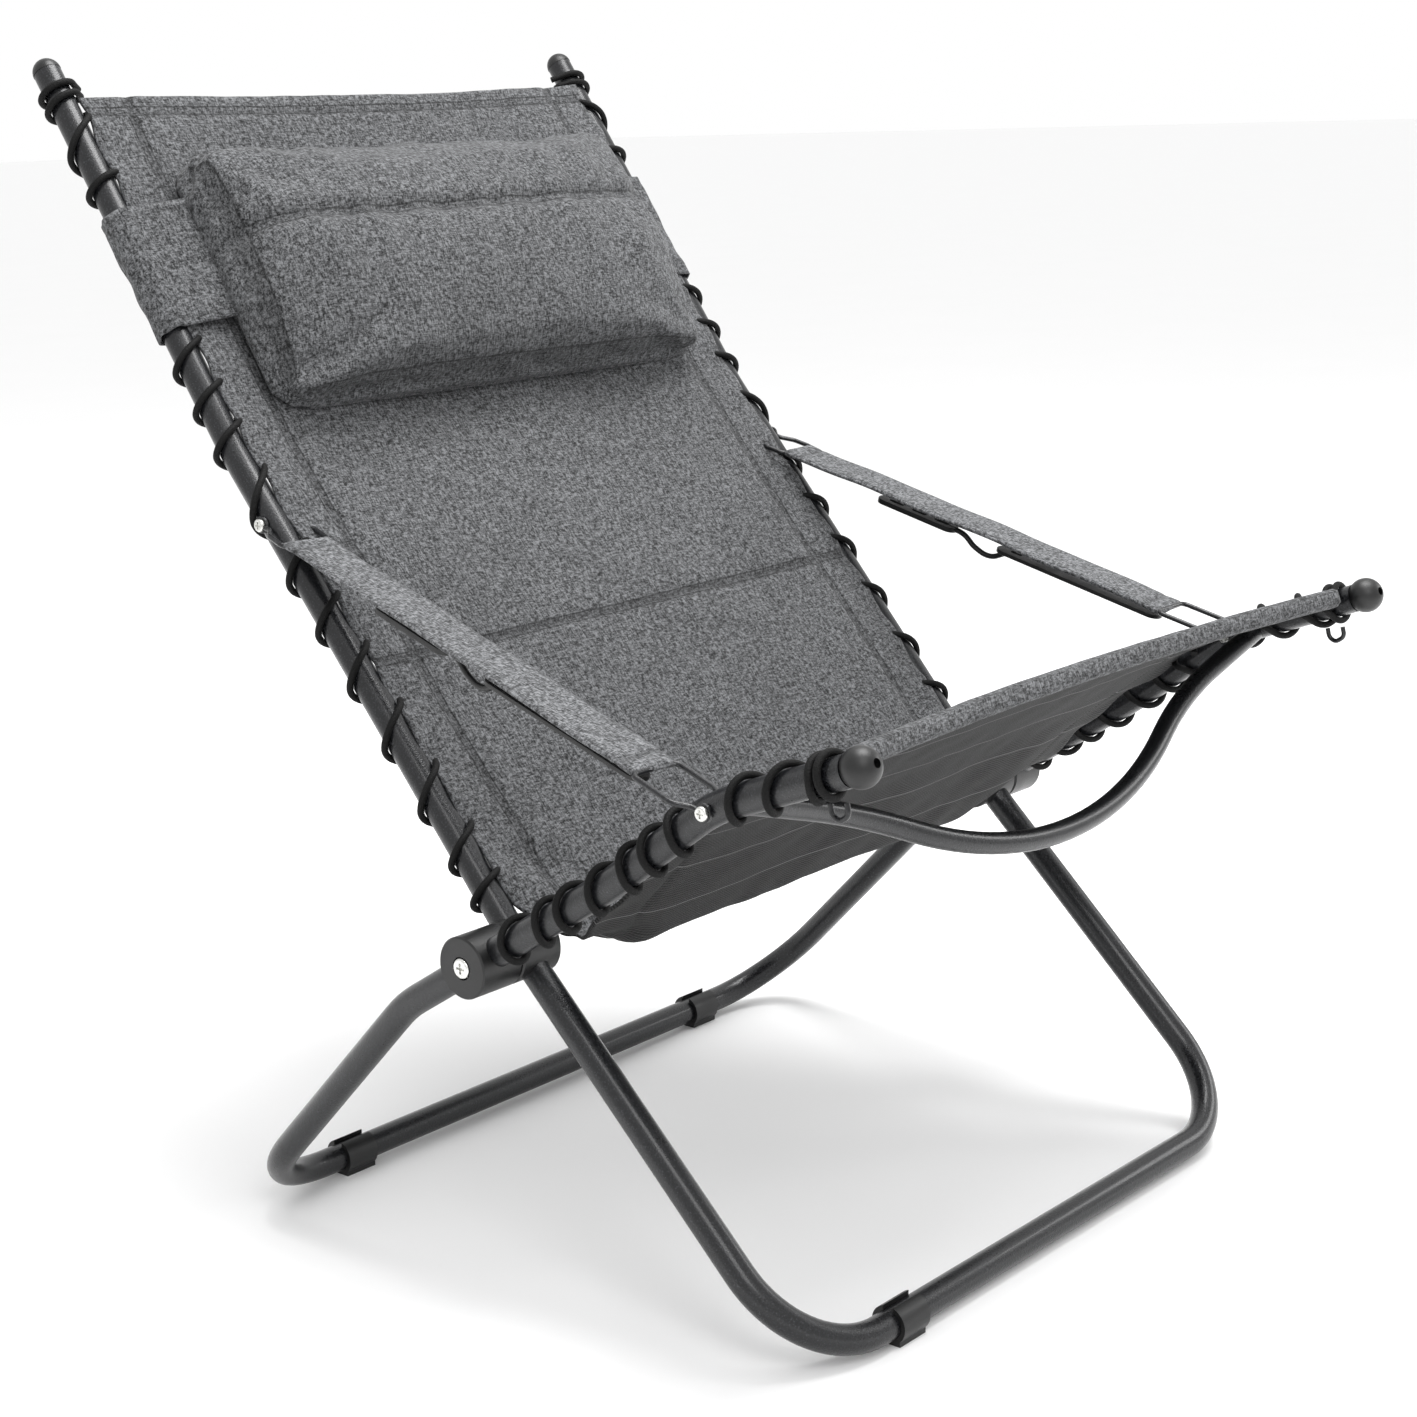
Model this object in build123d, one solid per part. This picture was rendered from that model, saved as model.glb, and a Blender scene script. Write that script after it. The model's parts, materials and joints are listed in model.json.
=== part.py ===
from build123d import *
import os
from math import atan2, cos, degrees, hypot, radians, sin, tan

# Folding camp lounge chair: two crossed steel-tube frames, a laced sling and strap arms.
# Millimetres. +X is the sitter's left, -Y is the way the sitter faces, +Z is up. The origin is
# on the floor, under the middle of the chair's box. Angles in the side view are measured from
# +Y towards +Z about the hub axis.

os.makedirs("parts", exist_ok=True)

# ---- driving dimensions ----
HUB_Y = -67.49           # hub axis, shared by both frames
HUB_Z = 267.0
TUBE_R = 11.0            # main tube, 22 mm across
TUBE_WALL = 1.5
BOW_R = 8.0              # lighter tube of the bow under the seat
BOW_WALL = 1.2
BACK_X = 286.0           # half width of the back frame, tube centre to chair centre
SEAT_X = 324.0           # half width of the seat frame
FLOOR_BAR_Z = 14.5       # floor bars stand on clips 3.5 mm thick
CORNER_R = 80.0          # bends between the legs and their floor bars

BACK_DEG = 50.1          # back tube, hub to kink
KINK_R = 438.0           # hub to kink along the tube
HEAD_DEG = 55.4          # back tube above the kink
HEAD_LENGTH = 349.0      # kink to the centre of the top dome
KINK_BEND_R = 300.0
FRONT_BAR_Y = -256.0     # floor bars, measured from the hub
REAR_BAR_Y = 284.0
SEAT_DEG = 148.5         # seat rail where it leaves the hub
REAR_DEG = SEAT_DEG + 180.0
REAR_KINK_R = 95.5
REAR_BEND_R = 120.0
SEAT_KNEE_R = 150.0      # hub to the first bend of the rail
SEAT_THIGH_DEG = 144.1   # steeper middle of the rail
SEAT_THIGH_LENGTH = 119.0
SEAT_TIP_DEG = 160.0     # flatter front of the rail
SEAT_TIP_LENGTH = 116.0
KNEE_BEND_R = 400.0
SEAT_TIP_BEND_R = 150.0

HUB_R = 22.75
HUB_LENGTH = 38.0        # each hub section, along the axis
HUB_SEAM = 0.5 * (BACK_X + SEAT_X)
WASHER_T = 1.5
SOCKET_START = 8.0       # tube ends stop this far from the hub axis
BOLT_R = 4.0
FIT = 0.05               # radial clearance of sockets and of the pivot bores

ARM_REAR_R = 375.0       # arm bolt on the back tube, from the hub axis
ARM_FRONT_R = 268.6      # arm bolt on the seat rail, from the hub axis
ARM_FRONT_DEG = 146.9
REAR_BAIL = 41.0         # bolt to cross wire
FRONT_BAIL = 60.0
WIRE_R = 2.0
LUG_R = 6.5
LUG_T = 2.0
LUG_GAP = 0.3            # between a tube and the lugs beside it
BAIL_HALF = 21.3         # half width of a bail, wire centre to middle
ARM_BOLT_R = 2.5
ARM_HEAD_R = 5.0
ARM_NUT_R = 4.2
SLEEVE_W = 42.0
SLEEVE_T = 5.0
SLEEVE_GAP = 3.0         # from a cross wire's centre to the sleeve's solid
ADJUSTER_LENGTH = 132.0
ADJUSTER_W = 20.0
ADJUSTER_T = 5.0
ADJUSTER_DROP = 7.0      # below the sleeve
ADJUSTER_PLACE = 0.42    # share of the arm's length
ADJUSTER_SLOTS = [-44.0, -16.0, 12.0, 40.0]

BOW_DROP_DEG = 240.3     # the way the bow hangs below the rails
BOW_START = 4.0          # last rail bend to the plane that the bow hangs in
BOW_END = 24.0           # last rail bend to the bow's ends
BOW_END_DROP = 2.0
BOW_SIDE = (208.0, 34.1)  # lateral place and drop of the outer bend
BOW_MIDDLE = (84.7, 97.0)
BOW_BENDS = [350.0, 352.0]

BOLT_HEAD_R = 7.5        # hub bolt
BOLT_HEAD_T = 3.6
HEAD_SINK = 2.6          # the head sits this deep in the outer hub
HEAD_GAP = 0.3
NUT_T = 6.5
NUT_HALF = 6.5           # half the distance across the nut's flats
HUB_CHAMFER = 1.2

HUB_HEAD_FILLET = 1.6
HUB_SLOT = (1.8, 8.0, 2.0)  # cross recess: width, length and depth
ARM_HEAD_T = 2.8
ARM_HEAD_FILLET = 1.3
ARM_SLOT = (1.3, 5.6, 1.4)
ARM_NUT_T = 3.2
BAIL_BENDS = [5.0, 8.0, 6.0]  # from a lug to the middle of the cross wire

PLUG_LENGTH = 12.0       # end caps reach this far into their tubes
SEAT_CAP_R = 13.6
SEAT_CAP_SETBACK = 4.5   # the ball is cut off this far short of its radius
CAP_HOLE_R = 3.2
CAP_HOLE_DEPTH = 5.0
CLIP_R = 14.5
CLIP_LENGTH = 30.0
CLIP_PAD = 20.0          # the foot's flat, along y
CLIP_MOUTH = 9.0
FRONT_CLIP_X = -180.0    # one clip on the front bar, at the sitter's right
REAR_CLIP_X = 216.0

SLING_GAP = 24.0         # tube centre to the edge of the sling's solid
SLING_LOW = 1.0          # sling solid, measured from the plane of the tube centres
SLING_HIGH = 9.0         # towards the sitter
CREASE_R = 110.0         # the sling folds inside this radius of the hub
CREASE_X = 252.0
NARROW_R = 200.0         # the seat sling is narrow inside this radius
SLING_TOP = 331.0        # kink to the sling's top edge
SLING_FRONT = 103.0      # last rail bend to the sling's front edge

PILLOW_LOW = 22.0        # along the head part of the tube, from the kink
PILLOW_HIGH = 245.0
PILLOW_T = 76.0
PILLOW_X = 246.0
BAND_LOW = 107.0
BAND_HIGH = 225.0
BAND_R = 14.6
BAND_TAB_T = 2.8

CORD_R = 2.6
WRAP_R = 14.5            # cord corners round a tube
WRAP_STEP = 30           # degrees between the corners
EDGE_U = 20.8            # tube centre to the cord's corner at the sling's edge
# where each turn crosses the sling's edge, as a distance from the hub along the back tube
BACK_EDGES = [541.0, 502.0, 467.0, 429.0, 358.0, 308.0, 264.0, 212.0, 158.0, 103.0, 62.0, 34.0]
HEAD_EDGES = [771.0, 763.0, 748.0, 690.0, 668.0]
BACK_OUTER_SHARE = 0.6   # of a turn's advance, before it reaches the outer side
# along the seat rail: where each turn leaves the edge, and where it passes the outer side
TIP_TURNS = [(376.0, 370.0), (366.5, 363.0), (346.0, 326.0), (309.0, 293.0), (277.0, None)]
THIGH_RINGS = [234.0, 203.0, 179.0, 142.0, 106.0, 82.0, 41.0]
HOOK_R = 1.8
HOOK_INWARD = 6.0
EDGE_LEAD = 6.0          # the cord's ends reach this far past the first and the last ring
HUG_R = 208.0            # turns nearer the hub than this hug the rail


# ---- side-view geometry: points are (y, z) from the hub axis ----
def polar(radius, angle):
    return (radius * cos(radians(angle)), radius * sin(radians(angle)))


def step(point, length, angle):
    return (point[0] + length * cos(radians(angle)), point[1] + length * sin(radians(angle)))


def place(x, point):
    """A side-view point at the lateral place x, in the chair's frame."""
    return Vector(x, HUB_Y + point[0], HUB_Z + point[1])


def mirrored(shape):
    return shape.mirror(Plane.YZ)


KINK = polar(KINK_R, BACK_DEG)
BACK_TOP = step(KINK, HEAD_LENGTH, HEAD_DEG)
FRONT_BAR = (FRONT_BAR_Y, FLOOR_BAR_Z - HUB_Z)
REAR_BAR = (REAR_BAR_Y, FLOOR_BAR_Z - HUB_Z)
REAR_KINK = polar(REAR_KINK_R, REAR_DEG)
KNEE = polar(SEAT_KNEE_R, SEAT_DEG)
THIGH = step(KNEE, SEAT_THIGH_LENGTH, SEAT_THIGH_DEG)
SEAT_TIP = step(THIGH, SEAT_TIP_LENGTH, SEAT_TIP_DEG)
BOW_PLANE = step(THIGH, BOW_START, SEAT_TIP_DEG)
ARM_REAR = polar(ARM_REAR_R, BACK_DEG)
ARM_FRONT = polar(ARM_FRONT_R, ARM_FRONT_DEG)
ARM_DEG = degrees(atan2(ARM_FRONT[1] - ARM_REAR[1], ARM_FRONT[0] - ARM_REAR[0])) % 360
ARM_LENGTH = hypot(ARM_FRONT[0] - ARM_REAR[0], ARM_FRONT[1] - ARM_REAR[1])
ARM_SKEW = (SEAT_X - BACK_X) / ARM_LENGTH
FRONT_LEG_DEG = degrees(atan2(FRONT_BAR[1], FRONT_BAR[0])) % 360


# ---- solids along a path ----
def pipe(points, radii, radius, wall=0.0):
    """A round tube, or a solid rod when wall is 0, along straight runs joined by tangent arcs."""
    path = FilletPolyline(*points, radius=radii) if len(points) > 2 else Line(*points)
    start = Plane(origin=path @ 0, z_dir=path % 0)
    section = Circle(radius)
    if wall:
        section -= Circle(radius - wall)
    return sweep(start * section, path=path)


def rod(start, end, radius):
    """A plain cylinder from start to end."""
    axis = end - start
    plane = Plane(origin=start, z_dir=axis)
    return extrude(plane * Circle(radius), axis.length)


def cross_rod(x0, x1, point, radius):
    """A cylinder along X between two lateral places."""
    return rod(place(x0, point), place(x1, point), radius)


# ---- frames ----
def cross_holes(tube, x, point):
    """The arm bolt's hole through a tube."""
    return tube - cross_rod(x - 2 * TUBE_R, x + 2 * TUBE_R, point, ARM_BOLT_R + FIT)


def back_tube():
    start = polar(SOCKET_START, BACK_DEG)
    points = [place(BACK_X, p) for p in (start, KINK, BACK_TOP)]
    return cross_holes(pipe(points, KINK_BEND_R, TUBE_R, TUBE_WALL), BACK_X, ARM_REAR)


def seat_rail():
    start = polar(SOCKET_START, SEAT_DEG)
    points = [place(SEAT_X, p) for p in (start, KNEE, THIGH, SEAT_TIP)]
    return cross_holes(pipe(points, [KNEE_BEND_R, SEAT_TIP_BEND_R], TUBE_R, TUBE_WALL), SEAT_X, ARM_FRONT)


def leg_frame(x, half, bends):
    """A U of tube: a leg, the floor bar and the other leg. half runs from the hub to the floor."""
    side = [place(x, p) for p in half]
    other = [place(-x, p) for p in reversed(half)]
    return pipe(side + other, bends + bends[::-1], TUBE_R, TUBE_WALL)


def front_leg_frame():
    return leg_frame(BACK_X, [polar(SOCKET_START, FRONT_LEG_DEG), FRONT_BAR], [CORNER_R])


def rear_leg_frame():
    half = [polar(SOCKET_START, REAR_DEG), REAR_KINK, REAR_BAR]
    return leg_frame(SEAT_X, half, [REAR_BEND_R, CORNER_R])


def rail_core():
    """The space the seat rail takes, for saddling the bow's ends onto it."""
    points = [place(SEAT_X, p) for p in (KNEE, THIGH, SEAT_TIP)]
    return pipe(points, SEAT_TIP_BEND_R, TUBE_R + FIT)


def seat_bow():
    """A shallow bow that hangs between the seat rails, its ends saddled onto their inner sides."""
    above = step(THIGH, BOW_END, SEAT_TIP_DEG)
    end = place(SEAT_X, step(above, BOW_END_DROP, BOW_DROP_DEG))
    hung = [place(x, step(BOW_PLANE, drop, BOW_DROP_DEG)) for x, drop in (BOW_SIDE, BOW_MIDDLE)]
    side = [end] + hung
    other = [Vector(-p.X, p.Y, p.Z) for p in reversed(side)]
    shape = pipe(side + other, BOW_BENDS + BOW_BENDS[::-1], BOW_R, BOW_WALL)
    core = rail_core()
    for cutter in (core, mirrored(core)):
        shape -= cutter
    return shape.solids().sort_by(SortBy.VOLUME)[-1]


# ---- hubs ----
def hub_section(x0, x1, angles):
    """One half of a pivot hub: a chamfered drum with a socket for each of its two tubes."""
    drum = cross_rod(x0, x1, (0, 0), HUB_R)
    drum = chamfer(drum.edges().filter_by(GeomType.CIRCLE), HUB_CHAMFER)
    middle = 0.5 * (x0 + x1)
    tube_x = BACK_X if abs(middle - BACK_X) < abs(middle - SEAT_X) else SEAT_X
    for angle in angles:
        near, far = polar(SOCKET_START - FIT, angle), polar(HUB_R + 5.0, angle)
        drum -= rod(place(tube_x, near), place(tube_x, far), TUBE_R + FIT)
    return drum - cross_rod(x0 - 1.0, x1 + 1.0, (0, 0), BOLT_R + FIT)


def hub_inner():
    outer_face = HUB_SEAM - WASHER_T / 2
    return hub_section(outer_face - HUB_LENGTH, outer_face, (BACK_DEG, FRONT_LEG_DEG))


def hub_outer():
    inner_face = HUB_SEAM + WASHER_T / 2
    face = inner_face + HUB_LENGTH
    drum = hub_section(inner_face, face, (SEAT_DEG, REAR_DEG))
    return drum - cross_rod(face - HEAD_SINK, face + 1.0, (0, 0), BOLT_HEAD_R + 1.0)


def hub_washer():
    x0, x1 = HUB_SEAM - WASHER_T / 2, HUB_SEAM + WASHER_T / 2
    return cross_rod(x0, x1, (0, 0), HUB_R - 3.0) - cross_rod(x0, x1, (0, 0), BOLT_R + FIT)


def cross_slot(x, width, length, depth):
    """The cross recess of a screw head whose outer face is at x."""
    arm = Box(depth, width, length) + Box(depth, length, width)
    return Pos(x - depth / 2, 0, 0) * arm


def hub_bolt():
    """Pan head with a cross recess, and a plain shank that the outer drum turns on."""
    seat = HUB_SEAM + WASHER_T / 2 + HUB_LENGTH - HEAD_SINK + HEAD_GAP
    tail = HUB_SEAM - WASHER_T / 2 - HUB_LENGTH - NUT_T - 1.0
    head = cross_rod(seat, seat + BOLT_HEAD_T, (0, 0), BOLT_HEAD_R)
    head = fillet(head.edges().filter_by(GeomType.CIRCLE).sort_by(Axis.X)[-1:], HUB_HEAD_FILLET)
    slot = cross_slot(seat + BOLT_HEAD_T, *HUB_SLOT)
    slot = Pos(0, HUB_Y, HUB_Z) * slot
    return head - slot + cross_rod(tail, seat, (0, 0), BOLT_R)


def hub_nut():
    """A hexagon nut on the inner end of the hub bolt."""
    x1 = HUB_SEAM - WASHER_T / 2 - HUB_LENGTH
    plane = Plane(origin=place(x1 - NUT_T, (0, 0)), z_dir=(1, 0, 0))
    nut = extrude(plane * RegularPolygon(NUT_HALF, 6, major_radius=False), NUT_T)
    return nut - cross_rod(x1 - NUT_T - 1.0, x1 + 1.0, (0, 0), BOLT_R + FIT)


# ---- end caps and feet ----
def back_cap():
    """A dome the size of the tube, with a plug inside it."""
    top = place(BACK_X, BACK_TOP)
    down = place(BACK_X, step(BACK_TOP, -PLUG_LENGTH, HEAD_DEG))
    along = place(BACK_X, step(BACK_TOP, 1.0, HEAD_DEG)) - top
    dome = Pos(top.X, top.Y, top.Z) * Sphere(TUBE_R + 0.3)
    keep = extrude(Plane(origin=top, z_dir=along) * Circle(2 * TUBE_R), 2 * TUBE_R)
    return (dome & keep) + rod(down, top, TUBE_R - TUBE_WALL - FIT)


def seat_cap():
    """A ball on the end of the seat rail, with a blind hole in its front."""
    centre = step(SEAT_TIP, SEAT_CAP_R - SEAT_CAP_SETBACK, SEAT_TIP_DEG)
    ball = Pos(*place(SEAT_X, centre)) * Sphere(SEAT_CAP_R)
    tip = place(SEAT_X, SEAT_TIP)
    along = place(SEAT_X, step(SEAT_TIP, 1.0, SEAT_TIP_DEG)) - tip
    keep = extrude(Plane(origin=tip, z_dir=along) * Circle(2 * TUBE_R), 3 * TUBE_R)
    inside = place(SEAT_X, step(SEAT_TIP, -PLUG_LENGTH, SEAT_TIP_DEG))
    plug = rod(inside, tip, TUBE_R - TUBE_WALL - FIT)
    hole = rod(
        place(SEAT_X, step(centre, SEAT_CAP_R - CAP_HOLE_DEPTH, SEAT_TIP_DEG)),
        place(SEAT_X, step(centre, SEAT_CAP_R + CAP_HOLE_DEPTH, SEAT_TIP_DEG)),
        CAP_HOLE_R,
    )
    return (ball & keep) + plug - hole


def foot_clip(x, bar):
    """A snap-on foot: a split sleeve round the floor bar, thick and flat underneath."""
    sleeve = cross_rod(x - CLIP_LENGTH / 2, x + CLIP_LENGTH / 2, bar, CLIP_R)
    pad_z = FLOOR_BAR_Z - CLIP_R
    pad = Pos(x, HUB_Y + bar[0], pad_z + 4.0) * Box(CLIP_LENGTH, CLIP_PAD, 8.0)
    shape = sleeve + pad
    shape -= cross_rod(x - CLIP_LENGTH, x + CLIP_LENGTH, bar, TUBE_R + FIT)
    gap = Pos(x, HUB_Y + bar[0], FLOOR_BAR_Z + CLIP_R) * Box(2 * CLIP_LENGTH, CLIP_MOUTH, CLIP_R)
    return shape - gap


# ---- arms ----
def bail(x, pivot, length, skew, angle):
    """A bent wire loop that straddles a tube, with a bored lug on each end.

    The lugs lie against the tube, and the wire then spreads to the arm sleeve's width.
    """
    inner_x = TUBE_R + LUG_GAP
    wire_x = inner_x + WIRE_R
    sides = []
    for side in (1, -1):
        sides.append([
            place(x + side * wire_x, step(pivot, ARM_HEAD_R + LUG_GAP, angle)),
            place(x + side * wire_x, step(pivot, 2 * ARM_HEAD_R, angle)),
            place(x + side * BAIL_HALF, step(pivot, 4 * ARM_HEAD_R, angle)),
            place(x + skew * length + side * BAIL_HALF, step(pivot, length, angle)),
        ])
    shape = pipe(sides[0] + sides[1][::-1], BAIL_BENDS + BAIL_BENDS[::-1], WIRE_R)
    for side in (1, -1):
        faces = sorted((x + side * inner_x, x + side * (inner_x + LUG_T)))
        shape += cross_rod(faces[0], faces[1], pivot, LUG_R)
    return shape - cross_rod(x - 2 * BAIL_HALF, x + 2 * BAIL_HALF, pivot, ARM_BOLT_R + FIT)


def arm_bail_rear():
    return bail(BACK_X, ARM_REAR, REAR_BAIL, ARM_SKEW, ARM_DEG)


def arm_bail_front():
    return bail(SEAT_X, ARM_FRONT, FRONT_BAIL, -ARM_SKEW, ARM_DEG - 180.0)


def arm_bolt(x, pivot):
    """The cross bolt that both lugs of a bail turn on: pan head outside, lock nut inside."""
    reach = TUBE_R + 2 * LUG_GAP + LUG_T
    tip = x + reach + ARM_HEAD_T
    head = cross_rod(x + reach, tip, pivot, ARM_HEAD_R)
    head = fillet(head.edges().filter_by(GeomType.CIRCLE).sort_by(Axis.X)[-1:], ARM_HEAD_FILLET)
    slot = Pos(0, HUB_Y + pivot[0], HUB_Z + pivot[1]) * cross_slot(tip, *ARM_SLOT)
    nut = cross_rod(x - reach - ARM_NUT_T, x - reach, pivot, ARM_NUT_R)
    return head - slot + cross_rod(x - reach, x + reach, pivot, ARM_BOLT_R) + nut


def arm_frame(along):
    """A plane on the arm's line: X runs forward along it, Z is the upper side."""
    x = BACK_X + ARM_SKEW * along
    origin = place(x, step(ARM_REAR, along, ARM_DEG))
    ahead = place(x + ARM_SKEW, step(ARM_REAR, along + 1.0, ARM_DEG)) - origin
    return Plane(origin=origin, x_dir=ahead, z_dir=ahead.cross(Vector(1, 0, 0)))


def arm_sleeve():
    """The strap arm between the two cross wires, as a plain flat solid."""
    start, end = REAR_BAIL + SLEEVE_GAP, ARM_LENGTH - FRONT_BAIL - SLEEVE_GAP
    middle = arm_frame(0.5 * (start + end))
    return middle * Box(end - start, SLEEVE_W, SLEEVE_T)


def arm_adjuster():
    """The hook bar under the sleeve, with its row of slots that set how far back the chair leans."""
    bar = extrude(RectangleRounded(ADJUSTER_LENGTH, ADJUSTER_W, 6.0), ADJUSTER_T)
    for middle in ADJUSTER_SLOTS:
        bar -= Pos(middle, 0, 0) * extrude(SlotOverall(18.0, 7.0), ADJUSTER_T)
    below = Pos(0, 0, -SLEEVE_T / 2 - ADJUSTER_DROP)
    return arm_frame(ADJUSTER_PLACE * ARM_LENGTH) * (below * bar)


# ---- sling, headrest ----
def plate(profile, x):
    """A closed side-view outline, extruded over the whole width between -x and x."""
    outline = Polyline(*[place(-x, p) for p in profile], close=True)
    return extrude(make_face(outline), amount=2 * x, dir=(1, 0, 0))


def lifted(points, lift):
    """Side-view points moved to the left of their own line."""
    moved = []
    for i, point in enumerate(points):
        before, after = points[max(i - 1, 0)], points[min(i + 1, len(points) - 1)]
        angle = degrees(atan2(after[1] - before[1], after[0] - before[0]))
        moved.append(step(point, lift, angle + 90.0))
    return moved


def slab(points, low, high, x):
    """A flat layer that follows side-view points, from low to high beside them."""
    return plate(lifted(points, low) + lifted(points, high)[::-1], x)


def sling_back():
    line = [polar(CREASE_R, BACK_DEG), KINK, step(KINK, SLING_TOP, HEAD_DEG)]
    return slab(line, SLING_LOW, SLING_HIGH, BACK_X - SLING_GAP)


def sling_seat():
    """Narrow between the back tubes, and wider where only the seat rails are beside it."""
    front = step(THIGH, SLING_FRONT, SEAT_TIP_DEG)
    broad = step(KNEE, NARROW_R - SEAT_KNEE_R, SEAT_THIGH_DEG)
    narrow_line = [polar(CREASE_R, SEAT_DEG), KNEE, THIGH, front]
    wide = slab([broad, THIGH, front], -SLING_LOW, -SLING_HIGH, SEAT_X - SLING_GAP)
    return slab(narrow_line, -SLING_LOW, -SLING_HIGH, BACK_X - SLING_GAP) + wide


def sling_crease():
    """The sling where it turns from back to seat, hanging slack between the two slabs."""
    back, seat = polar(CREASE_R - 0.5, BACK_DEG), polar(CREASE_R - 0.5, SEAT_DEG)
    outline = [
        step(back, SLING_LOW, BACK_DEG + 90.0),
        (-8.0, -14.0),
        (-34.0, -12.0),
        step(seat, SLING_LOW, SEAT_DEG - 90.0),
        step(seat, SLING_HIGH, SEAT_DEG - 90.0),
        (-30.0, -3.0),
        (-13.0, -5.0),
        step(back, SLING_HIGH, BACK_DEG + 90.0),
    ]
    return plate(outline, CREASE_X)


def headrest_pillow():
    """A puffed cushion in front of the sling, lens-shaped in the side view."""
    height = PILLOW_HIGH - PILLOW_LOW
    foot = step(step(KINK, PILLOW_LOW, HEAD_DEG), SLING_HIGH + 0.5, HEAD_DEG + 90.0)
    plane = Plane(
        origin=place(-PILLOW_X, foot),
        x_dir=place(0, step((0, 0), 1.0, HEAD_DEG)) - place(0, (0, 0)),
        z_dir=(1, 0, 0),
    )
    outline = [(12, 0), (height - 12, 0), (height, 16), (height - 8, 46), (height - 50, 68)]
    outline += [(height / 2, PILLOW_T), (46, PILLOW_T - 2), (8, 54), (0, 18)]
    face = make_face(Polyline(*outline, close=True))
    body = extrude(plane * face, 2 * PILLOW_X)
    return fillet(body.edges().filter_by(Axis.X), 6.0)


def headrest_band():
    """The sleeve that ties the pillow to a back tube: round the tube, then on to the pillow."""
    low, high = step(KINK, BAND_LOW, HEAD_DEG), step(KINK, BAND_HIGH, HEAD_DEG)
    loop = rod(place(BACK_X, low), place(BACK_X, high), BAND_R)
    inner_x = PILLOW_X + 0.5
    foot = step(low, SLING_HIGH + 0.8, HEAD_DEG + 90.0)
    tab_plane = Plane(
        origin=place(inner_x, foot),
        x_dir=(1, 0, 0),
        z_dir=place(0, step((0, 0), 1.0, HEAD_DEG)) - place(0, (0, 0)),
    )
    width = BACK_X - inner_x
    tab = Pos(width / 2, -BAND_TAB_T / 2) * Rectangle(width, BAND_TAB_T)
    loop += extrude(tab_plane * tab, BAND_HIGH - BAND_LOW)
    return loop - rod(place(BACK_X, low), place(BACK_X, high), TUBE_R + 0.4)


# ---- lacing ----
def along_tube(line, distance):
    """The side-view point and direction at a distance along straight runs."""
    for (a, b) in zip(line, line[1:]):
        run = hypot(b[0] - a[0], b[1] - a[1])
        if distance <= run or b is line[-1]:
            angle = degrees(atan2(b[1] - a[1], b[0] - a[0]))
            return step(a, distance, angle), angle
        distance -= run
    return line[-1], 0.0


def even_turns(edges, outer_share):
    """(edge, outer) distances of turns that spend outer_share of their advance going outwards."""
    pairs = list(zip(edges, edges[1:]))
    outers = [here + outer_share * (after - here) for here, after in pairs]
    return list(zip(edges, outers + [None]))


def ring_turns(rings):
    """(edge, outer) distances of turns whose crossings of the edge lie midway between rings."""
    middles = [(a + b) / 2 for a, b in zip(rings, rings[1:])]
    first = rings[0] + EDGE_LEAD
    last = rings[-1] - EDGE_LEAD
    return list(zip([first] + middles + [last], rings + [None]))


def lacing(x, line, side, turns, hug_below=0.0):
    """Elastic cord that spirals round a tube, from its free end towards the hub.

    turns are (edge, outer) distances from the hub: where a turn leaves the sling's edge, and
    where it passes the tube's outer side. side is +90 or -90: the turn from the line's direction
    to the sitter's side. Turns below hug_below stay close to the tube all round.
    """
    points = []
    for (edge, outer), (after, _) in zip(turns, turns[1:]):
        for turn in range(0, 360, WRAP_STEP):
            half = turn / 180.0
            if half < 1:
                distance = edge + half * (outer - edge)
            else:
                distance = outer + (half - 1) * (after - outer)
            point, angle = along_tube(line, distance)
            reach = EDGE_U if turn == 0 and edge > hug_below else WRAP_R
            inward, front = reach * cos(radians(turn)), reach * sin(radians(turn))
            points.append(place(x - inward, step(point, front, angle + side)))
    return pipe(points, arc_radii(points), CORD_R)


def arc_radii(points):
    """For each inner corner, an arc as large as its two runs allow."""
    radii = []
    for before, at, after in zip(points, points[1:], points[2:]):
        turn = (at - before).get_angle(after - at)
        shorter = min((at - before).length, (after - at).length)
        radii.append(0.45 * shorter / tan(radians(turn / 2)))
    return radii


BACK_LINE = [(0.0, 0.0), KINK, BACK_TOP]
SEAT_LINE = [(0.0, 0.0), KNEE, THIGH, SEAT_TIP]


def back_lacing():
    return lacing(BACK_X, BACK_LINE, 90, even_turns(BACK_EDGES, BACK_OUTER_SHARE))


def head_lacing():
    return lacing(BACK_X, BACK_LINE, 90, even_turns(HEAD_EDGES, BACK_OUTER_SHARE))


def tip_lacing():
    return lacing(SEAT_X, SEAT_LINE, -90, TIP_TURNS)


def seat_lacing():
    """The turns nearer the hub hug the rail, where the back tube swings past it."""
    return lacing(SEAT_X, SEAT_LINE, -90, ring_turns(THIGH_RINGS), HUG_R)


def cord_hook():
    """The small wire hook that ends the cord, hanging below the rail's end."""
    line = [(370.0, 19.0), (369.0, 27.0), (360.0, 29.0), (356.0, 24.0), (357.0, 17.0)]
    points = []
    for distance, drop in line:
        point, angle = along_tube(SEAT_LINE, distance)
        points.append(place(SEAT_X - HOOK_INWARD, step(point, drop, angle + 90.0)))
    return pipe(points, arc_radii(points), HOOK_R)


# ---- write every sub-part ----
def save(name, shape):
    export_step(shape, f"parts/{name}.step")


def save_pair(name, shape):
    """A sub-part and its mirror image: the sitter's left is +X."""
    save(f"{name}_left", shape)
    save(f"{name}_right", mirrored(shape))


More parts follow.
